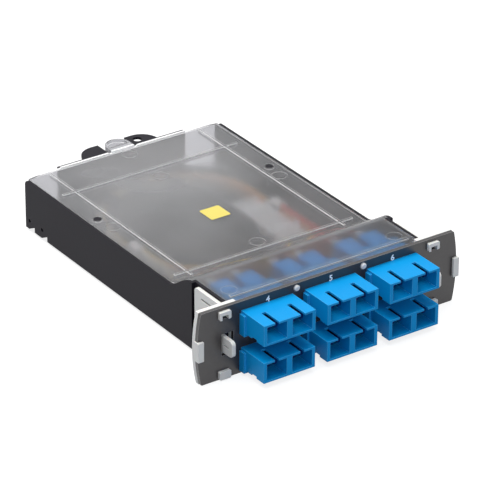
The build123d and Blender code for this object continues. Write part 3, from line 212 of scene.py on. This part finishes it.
# Winds copies of the path round it, one strand each, and gives every strand a tone
def strandGroup(name, material, look):
    group = bpy.data.node_groups.new(name, "GeometryNodeTree")
    sockets = {"Path": "NodeSocketGeometry", "Strands": "NodeSocketInt", "Spread": "NodeSocketFloat",
               "Turns": "NodeSocketFloat", "Thickness": "NodeSocketFloat"}
    keys = {key: group.interface.new_socket(key, in_out="INPUT", socket_type=kind).identifier
            for key, kind in sockets.items()}
    group.interface.new_socket("Geometry", in_out="OUTPUT", socket_type="NodeSocketGeometry")
    start = addNode(group, "NodeGroupInput")
    upright = addNode(group, "GeometryNodeSetCurveNormal", {"mode": "Z_UP"}, {"Curve": start.outputs["Path"]})
    copies = addNode(group, "GeometryNodeDuplicateElements", {"domain": "SPLINE"},
                     {"Geometry": upright.outputs[0], "Amount": start.outputs["Strands"]})
    along = addNode(group, "GeometryNodeSplineParameter")
    part = addNode(group, "ShaderNodeMath", {"operation": "DIVIDE"},
                   {0: copies.outputs["Duplicate Index"], 1: start.outputs["Strands"]})
    toned = addNode(group, "GeometryNodeStoreNamedAttribute", {"data_type": "FLOAT", "Name": "strandTone"},
                    {"Geometry": copies.outputs["Geometry"], "Value": part.outputs[0]})
    winding = addNode(group, "ShaderNodeMath", {"operation": "MULTIPLY_ADD"},
                      {0: along.outputs["Factor"], 1: start.outputs["Turns"], 2: part.outputs[0]})
    angle = addNode(group, "ShaderNodeMath", {"operation": "MULTIPLY", 1: 2 * math.pi},
                    {0: winding.outputs[0]})
    sine = addNode(group, "ShaderNodeMath", {"operation": "SINE"}, {0: angle.outputs[0]})
    cosine = addNode(group, "ShaderNodeMath", {"operation": "COSINE"}, {0: angle.outputs[0]})
    # Strands lie at slightly different depths in the bundle
    depth = addNode(group, "FunctionNodeRandomValue",
                    {"data_type": "FLOAT", 2: look["depths"][0], 3: look["depths"][1], "Seed": look["seed"]},
                    {"ID": copies.outputs["Duplicate Index"]})
    reach = addNode(group, "ShaderNodeMath", {"operation": "MULTIPLY"},
                    {0: start.outputs["Spread"], 1: depth.outputs[1]})
    normal = addNode(group, "GeometryNodeInputNormal")
    tangent = addNode(group, "GeometryNodeInputTangent")
    side = addNode(group, "ShaderNodeVectorMath", {"operation": "CROSS_PRODUCT"},
                   {0: tangent.outputs[0], 1: normal.outputs[0]})
    upPart = addNode(group, "ShaderNodeVectorMath", {"operation": "SCALE"},
                     {0: normal.outputs[0], "Scale": cosine.outputs[0]})
    sidePart = addNode(group, "ShaderNodeVectorMath", {"operation": "SCALE"},
                       {0: side.outputs[0], "Scale": sine.outputs[0]})
    both = addNode(group, "ShaderNodeVectorMath", {"operation": "ADD"},
                   {0: upPart.outputs[0], 1: sidePart.outputs[0]})
    offset = addNode(group, "ShaderNodeVectorMath", {"operation": "SCALE"},
                     {0: both.outputs[0], "Scale": reach.outputs[0]})
    moved = addNode(group, "GeometryNodeSetPosition", None,
                    {"Geometry": toned.outputs["Geometry"], "Offset": offset.outputs[0]})
    profile = addNode(group, "GeometryNodeCurvePrimitiveCircle", {"Resolution": look["facets"]},
                      {"Radius": start.outputs["Thickness"]})
    skin = addNode(group, "GeometryNodeCurveToMesh", None,
                   {"Curve": moved.outputs[0], "Profile Curve": profile.outputs[0]})
    single = addNode(group, "GeometryNodeRealizeInstances", None, {"Geometry": skin.outputs[0]})
    painted = addNode(group, "GeometryNodeSetMaterial", {"Material": material},
                      {"Geometry": single.outputs[0]})
    addNode(group, "NodeGroupOutput", None, {0: painted.outputs[0]})
    return group, keys


def growStrands(name, route, group, keys, settings):
    curve = bpy.data.curves.new(name + "Path", "CURVE")
    curve.dimensions = "3D"
    spline = curve.splines.new("POLY")
    spline.points.add(len(route) - 1)
    for point, place in zip(spline.points, route):
        point.co = (*place, 1)
    spline.use_cyclic_u = True
    holder = bpy.data.objects.new(name + "Path", curve)
    bpy.context.scene.collection.objects.link(holder)
    modifier = holder.modifiers.new("strands", "NODES")
    modifier.node_group = group
    for key, value in settings.items():
        modifier[keys[key]] = value
    grown = bpy.data.meshes.new_from_object(holder.evaluated_get(bpy.context.evaluated_depsgraph_get()))
    bpy.data.objects.remove(holder)
    made = bpy.data.objects.new(name, grown)
    bpy.context.scene.collection.objects.link(made)
    for face in grown.polygons:
        face.use_smooth = True
    return made


# Black mouldings
trayLook = {"colour": "#17151c", "colourTo": "#1c1a21", "toneSize": 60, "grainSize": 0.35, "rough": 0.42,
            "bump": 0.25, "shine": 0.1, "edge": 0.3}
# Moulded ABS, satin black: a soft grey sheen on its long sides
trayBlack = opaque("moulded_black_abs", trayLook)
dress(trayBlack, "tray")

plateLook = {"colour": "#1b1819", "colourTo": "#2b2728", "toneSize": 2.5, "grainSize": 0.25, "rough": 0.34,
             "bump": 0.5, "shine": 0.8, "edge": 0.25, "highlightGain": 4.0, "highlightColour": "#b4b0b0"}
# Finely textured ABS: speckled black, with a painted highlight as a thin bright line along its edges
plateBlack = opaque("textured_black_abs", plateLook)
dress(plateBlack, "face_plate")
print("black mouldings dressed")

# Clear lid: each edge of painted highlight gives a place along it, half a width and a strength, and each band of
# stronger painted highlight two heights
lidLook = {"cloudSize": 55, "cloudLimits": (0.3, 0.7), "haze": 0.17, "hazeSpread": 0.06,
           "sheenY": (-60, 20), "sheenFrontShare": 0.36, "wallX": 50, "sheenLeftShare": 0.15,
           "tint": "#cccccf", "bend": 1.3, "blur": 0.23, "coarseBlur": 0.42, "coarseY": (-45, -32),
           "milk": "#e2e3e6", "glowShare": 0.5, "sheen": 0.17, "gloss": 1.25, "shade": "#f0f1f2",
           "edge": 0.4, "highlightGain": 1.0, "highlightColour": "#ffffff",
           "highlightEdges": [(82.5, 0.55, 0.75), (-76.9, 1.2, 0.6)],
           "highlightBands": [(24.41, 24.9), (32.31, 32.95), (22.8, 24.2), (30.7, 32.1)], "highlightBandGain": 6.0}
# Frosted polycarbonate: the coils and connectors show as blurred colour
lidClear = frosted("frosted_polycarbonate", lidLook)
dress(lidClear, "lid")
print("lid dressed")

# White latch parts
nylonLook = {"colour": "#dfdeda", "colourTo": "#d7d6d1", "toneSize": 25, "grainSize": 0.4, "rough": 0.34,
             "bump": 0.12, "soft": 0.05, "edge": 0.3, "highlightGain": 3.0, "highlightColour": "#ffffff"}
# Moulded nylon without pigment: warm white and a little translucent, with a painted white highlight along its
# edges
nylonWhite = opaque("moulded_natural_nylon", nylonLook)
dress(nylonWhite, "latch_bracket_left", "latch_bracket_right", "latch_lever_left", "latch_lever_right")

# Adapters and their insides
adapterCount = 6
portCount = 2 * adapterCount
adapterLook = {"colour": "#0089cb", "colourTo": "#0290d1", "toneSize": 20, "grainSize": 0.3, "rough": 0.42,
               "bump": 0.1, "shine": 0.14, "edge": 0.22, "highlightGain": 5.0, "highlightColour": "#63bdf2"}
# Moulded PBT: an even bright blue, with a painted highlight as a lighter line along its edges
adapterBlue = opaque("moulded_blue_pbt", adapterLook)
dress(adapterBlue, *["adapter_%d" % i for i in range(1, adapterCount + 1)])

sleeveHolderShadeLook = {"colour": "#052a66", "colourTo": "#07306e", "toneSize": 10, "grainSize": 0.3, "rough": 0.5,
                    "bump": 0.1, "shine": 0.2, "edge": 0.1}
# Moulded PBT, the adapters' blue darkened as painted shade: dark at the bottom of each port
sleeveHolderShaded = opaque("blue_pbt_painted_shade", sleeveHolderShadeLook)
dress(sleeveHolderShaded, *["sleeve_holders_%d" % i for i in range(1, adapterCount + 1)])

connectorLook = {"colour": "#1293e4", "colourTo": "#209ae8", "toneSize": 12, "grainSize": 0.3, "rough": 0.4,
                 "bump": 0.1, "edge": 0.2}
# Moulded PBT housings, lighter than the adapters because the lid's haze greys them
connectorBlue = opaque("moulded_connector_pbt", connectorLook)
dress(connectorBlue, *["pigtail_connector_%d" % i for i in range(1, portCount + 1)])

bootLook = {"colour": "#e4e6e8", "colourTo": "#d6d9dc", "toneSize": 10, "grainSize": 0.3, "rough": 0.55,
            "bump": 0.2, "soft": 0.1, "edge": 0.2}
# Moulded elastomer: matt and pale, soft at its edges
bootPale = opaque("moulded_pale_elastomer", bootLook)
dress(bootPale, *["boot_%d" % i for i in range(1, portCount + 1)])

ceramicLook = {"colour": "#f0ebe0", "colourTo": "#e6e0d4", "toneSize": 8, "grainSize": 0.2, "rough": 0.2,
               "bump": 0.02, "edge": 0.1}
# Ground zirconia: smooth ivory white at the bottom of each port
ceramicWhite = opaque("ground_zirconia", ceramicLook)
dress(ceramicWhite, "alignment_sleeves")
print("adapters dressed")

# Inside the tray
holderLook = {"colour": "#f2f4f5", "colourTo": "#e8eaec", "toneSize": 15, "grainSize": 0.4, "rough": 0.6,
              "bump": 0.2, "edge": 0.2}
# Moulded silicone rubber: a pale matt block under the lid
holderPale = opaque("moulded_pale_silicone", holderLook)
dress(holderPale, "splice_holder")

sleeveLook = {"colour": "#cfcdca", "colourTo": "#dad8d4", "toneSize": 6, "grainSize": 0.3, "rough": 0.25,
              "bump": 0.05, "soft": 0.1, "edge": 0.15}
# Shrunk clear polyolefin tubing: milky, with a soft shine along its top
sleeveClear = opaque("shrunk_polyolefin", sleeveLook)
dress(sleeveClear, "splice_sleeves", "coil_ties")

redLook = {"colour": "#d62a20", "colourTo": "#e04434", "toneSize": 8, "grainSize": 0.4, "rough": 0.4,
           "bump": 0.1, "edge": 0.1}
# Extruded PVC jacket, red: a warm blur through the lid
redFibre = opaque("extruded_red_pvc", redLook)
dress(redFibre, "lower_fibre_coil", "pigtail_leads_2", "pigtail_leads_3", "pigtail_leads_6")

yellowLook = {"colour": "#f2c61c", "colourTo": "#f6d43c", "toneSize": 8, "grainSize": 0.4, "rough": 0.4,
              "bump": 0.1, "edge": 0.1}
# Extruded PVC jacket, yellow: bright thin lines near the front
yellowFibre = opaque("extruded_yellow_pvc", yellowLook)
dress(yellowFibre, "upper_fibre_coil", "pigtail_leads_5")

paleLook = {"colour": "#c6c4be", "colourTo": "#b8b5b0", "toneSize": 8, "grainSize": 0.4, "rough": 0.4,
            "bump": 0.1, "edge": 0.1}
# Extruded PVC jacket, undyed: nearly the grey of the lid's haze
paleFibre = opaque("extruded_natural_pvc", paleLook)
dress(paleFibre, "pigtail_leads_1", "pigtail_leads_4")

# The two coils become bundles of separate strands
coilLook = {
    "strandWidth": 1.15, "radii": [25.0, 25.0, 37.1, 37.1], "step": 3.0, "turns": 1.0,
    "depths": (0.55, 1.0), "seed": 7, "facets": 8, "rough": 0.42, "bend": 1.45, "stopLead": 0.3,
    "colours": {
        "lower_fibre_coil": ["#cfcfcb", "#8f9496", "#c23a2e", "#2a2a2c", "#c9a21e", "#7d4a2a",
                             "#c23a2e", "#b0484e", "#3e7a4a", "#7a5a8a", "#1f6fae", "#8f9496"],
        "upper_fibre_coil": ["#b9bab8", "#e0a060", "#f0862a", "#d8808a", "#e8c45a", "#a05a34",
                             "#a8402c", "#e0342a", "#9a5030", "#f2c61c", "#6d6a6a", "#8f9294"]},
}


def fibreJackets(name, colours, look):
    made, tree, output = startMaterial(name)
    tone = addNode(tree, "ShaderNodeAttribute", {"attribute_name": "strandTone"})
    ramp = addNode(tree, "ShaderNodeValToRGB", None, {"Fac": tone.outputs["Fac"]})
    ramp.color_ramp.interpolation = "CONSTANT"
    stops = ramp.color_ramp.elements
    for index, colour in enumerate(colours):
        # Each colour starts a little before its strand's tone
        stop = stops[0] if index == 0 else stops.new((index - look["stopLead"]) / len(colours))
        stop.color = linear(colour)
    stops.remove(stops[-1])
    surface = addNode(tree, "ShaderNodeBsdfPrincipled", {"Roughness": look["rough"], "IOR": look["bend"]},
                      {"Base Color": ramp.outputs["Color"]})
    tree.links.new(surface.outputs["BSDF"], output.inputs["Surface"])
    return made


for coilName, jacketColours in coilLook["colours"].items():
    lowCorner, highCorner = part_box(coilName)
    coilRadius = (highCorner[2] - lowCorner[2]) / 2
    route = roundedRoute((lowCorner[0] + coilRadius, lowCorner[1] + coilRadius),
                         (highCorner[0] - coilRadius, highCorner[1] - coilRadius), lowCorner[2] + coilRadius,
                         [radius * mm for radius in coilLook["radii"]], coilLook["step"] * mm)
    # Extruded PVC jackets, one colour to a strand, blend to brown and yellow under the lid
    jackets = fibreJackets(coilName + "_extruded_pvc", jacketColours, coilLook)
    strands, strandKeys = strandGroup(coilName + "_strands", jackets, coilLook)
    coil = growStrands(coilName + "_fibres", route, strands, strandKeys, {
        "Strands": len(jacketColours), "Spread": coilRadius - coilLook["strandWidth"] * mm / 2,
        "Turns": coilLook["turns"], "Thickness": coilLook["strandWidth"] * mm / 2})
    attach(coil, "module")
    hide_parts(coilName)
print("coils grown")

screwLook = {"colour": "#9a9a9c", "colourTo": "#8c8c90", "toneSize": 3, "grainSize": 0.2, "rough": 0.35,
             "bump": 0.05, "edge": 0.1}
# Zinc-plated steel under clear varnish: small grey glints on the holder
screwSteel = opaque("zinc_plated_steel", screwLook)
dress(screwSteel, "holder_screws")

stickerLook = {"colour": "#ccbb55", "colourTo": "#d2c25e", "toneSize": 6, "grainSize": 0.2, "rough": 0.45,
               "bump": 0.05, "edge": 0.05}
# Cast vinyl film: plain yellow and nearly matt
stickerYellow = opaque("cast_yellow_vinyl", stickerLook)
dress(stickerYellow, "sticker")
print("inside dressed")

# Port numbers on the face plate
numberLook = {"size": 3.7, "bold": 0.09, "z": 30.4, "proud": 0.04, "merge": 0.001,
              "places": {"4": -31.4, "5": 0.4, "6": 32.2}}
paintLook = {"colour": "#fbfbfa", "colourTo": "#f4f4f2", "toneSize": 4, "grainSize": 0.2, "rough": 0.5,
             "bump": 0.0, "edge": 0.02}
# Pad-printed ink: flat crisp white on the black plate
printWhite = opaque("pad_printed_white_ink", paintLook)
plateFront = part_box("face_plate")[0][1]
for digit, x in numberLook["places"].items():
    curve = bpy.data.curves.new("portText" + digit, "FONT")
    curve.body = digit
    curve.size = numberLook["size"] * mm
    curve.offset = numberLook["bold"] * mm
    curve.extrude = numberLook["proud"] * mm / 2
    curve.align_x = "CENTER"
    curve.align_y = "CENTER"
    typed = bpy.data.objects.new("portText" + digit, curve)
    bpy.context.scene.collection.objects.link(typed)
    printed = bpy.data.meshes.new_from_object(typed.evaluated_get(bpy.context.evaluated_depsgraph_get()))
    bpy.data.objects.remove(typed)
    closed = bmesh.new()
    closed.from_mesh(printed)
    bmesh.ops.remove_doubles(closed, verts=closed.verts, dist=numberLook["merge"] * mm)
    bmesh.ops.recalc_face_normals(closed, faces=closed.faces)
    closed.to_mesh(printed)
    closed.free()
    middle = (x * mm, plateFront - numberLook["proud"] * mm / 2, numberLook["z"] * mm)
    printed.transform(Matrix.Translation(middle) @ Matrix.Rotation(math.pi / 2, 4, "X"))
    printed.materials.clear()
    printed.materials.append(printWhite)
    portNumber = bpy.data.objects.new("portNumber" + digit, printed)
    bpy.context.scene.collection.objects.link(portNumber)
    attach(portNumber, "module")
print("port numbers placed")

# Studio, in metres: the floor lies a hair under the object
studioLook = {"white": "#ffffff", "paper": "#8a8a8a", "paperRough": 0.8, "paperGlow": 0.8, "bounce": "#888b92",
              "sky": "#e8f0ff", "skyLight": 0.46, "reach": 4.0, "floorZ": -0.0002, "aim": (0, 0, 0.01)}
scene = bpy.context.scene
floorMesh = bpy.data.meshes.new("studioFloor")
floorCorners = [(side * studioLook["reach"], end * studioLook["reach"], studioLook["floorZ"])
                for side, end in ((-1, -1), (1, -1), (1, 1), (-1, 1))]
floorMesh.from_pydata(floorCorners, [], [(0, 1, 2, 3)])
floor = bpy.data.objects.new("studioFloor", floorMesh)
scene.collection.objects.link(floor)


# Eye, mirror and glass see the white studio, while other rays get its plain light
def seenDirectly(tree):
    path = addNode(tree, "ShaderNodeLightPath")
    mirrored = addNode(tree, "ShaderNodeMath", {"operation": "ADD"},
                       {0: path.outputs["Is Camera Ray"], 1: path.outputs["Is Glossy Ray"]})
    return addNode(tree, "ShaderNodeMath", {"operation": "ADD", "use_clamp": True},
                   {0: mirrored.outputs[0], 1: path.outputs["Is Transmission Ray"]}).outputs[0]


# Matt paper: it looks white, keeps the object's shadow and throws grey light back
floorMaterial, floorTree, floorOutput = startMaterial("matt_studio_paper")
paperSeen = addNode(floorTree, "ShaderNodeBsdfPrincipled", {
    "Base Color": linear(studioLook["paper"]), "Roughness": studioLook["paperRough"],
    "Emission Color": linear(studioLook["white"]), "Emission Strength": studioLook["paperGlow"]})
paperBounce = addNode(floorTree, "ShaderNodeBsdfDiffuse", {"Color": linear(studioLook["bounce"])})
paper = addNode(floorTree, "ShaderNodeMixShader", None,
                {0: seenDirectly(floorTree), 1: paperBounce.outputs[0], 2: paperSeen.outputs[0]})
floorTree.links.new(paper.outputs[0], floorOutput.inputs["Surface"])
floorMesh.materials.append(floorMaterial)

world = bpy.data.worlds.new("studio")
world.use_nodes = True
worldTree = world.node_tree
worldTree.nodes.clear()
skyLight = addNode(worldTree, "ShaderNodeBackground",
                   {"Color": linear(studioLook["sky"]), "Strength": studioLook["skyLight"]})
skySeen = addNode(worldTree, "ShaderNodeBackground", {"Color": linear(studioLook["white"]), "Strength": 1.0})
sky = addNode(worldTree, "ShaderNodeMixShader", None,
              {0: seenDirectly(worldTree), 1: skyLight.outputs[0], 2: skySeen.outputs[0]})
addNode(worldTree, "ShaderNodeOutputWorld", None, {"Surface": sky.outputs[0]})
scene.world = world

lights = {
    "topSoft": {"at": (-0.15, 0.1, 0.9), "size": 0.9, "power": 11.6, "colour": (1.0, 0.975, 0.925)},
    "frontLeft": {"at": (-0.4, -1.15, 0.6), "size": 0.7, "power": 3.3, "colour": (0.94, 0.97, 1.0)},
    "lidSheen": {"at": (0.465, 0.77, 0.494), "size": 0.1, "power": 0.07, "colour": (1.0, 1.0, 1.0)},
    "right": {"at": (1.0, -0.3, 0.6), "size": 0.7, "power": 1.2, "colour": (1.0, 1.0, 1.0)},
}
for lightName, light in lights.items():
    data = bpy.data.lights.new(lightName, "AREA")
    data.size = light["size"]
    data.energy = light["power"]
    data.color = light["colour"]
    lamp = bpy.data.objects.new(lightName, data)
    aim = Vector(studioLook["aim"]) - Vector(light["at"])
    lamp.matrix_world = Matrix.Translation(light["at"]) @ aim.to_track_quat("-Z", "Y").to_matrix().to_4x4()
    scene.collection.objects.link(lamp)

# The photograph's viewing angle, in millimetres and degrees; the far limit is in metres
shot = {"at": (-753.92, -1103.96, 725.51), "turn": -34.579, "tilt": 27.992, "roll": 0.226, "lens": 262.93,
        "sensor": 36.0, "farLimit": 20.0}
cameraData = bpy.data.cameras.new("photoCamera")
cameraData.lens = shot["lens"]
cameraData.sensor_width = shot["sensor"]
cameraData.clip_end = shot["farLimit"]
camera = bpy.data.objects.new("photoCamera", cameraData)
camera.matrix_world = (
    Matrix.Translation(Vector(shot["at"]) * mm)
    @ Matrix.Rotation(math.radians(shot["turn"]), 4, "Z")
    @ Matrix.Rotation(math.radians(90 - shot["tilt"]), 4, "X")
    @ Matrix.Rotation(math.radians(shot["roll"]), 4, "Z")
)
scene.collection.objects.link(camera)
scene.camera = camera
scene.view_settings.view_transform = "Standard"
print("studio ready")
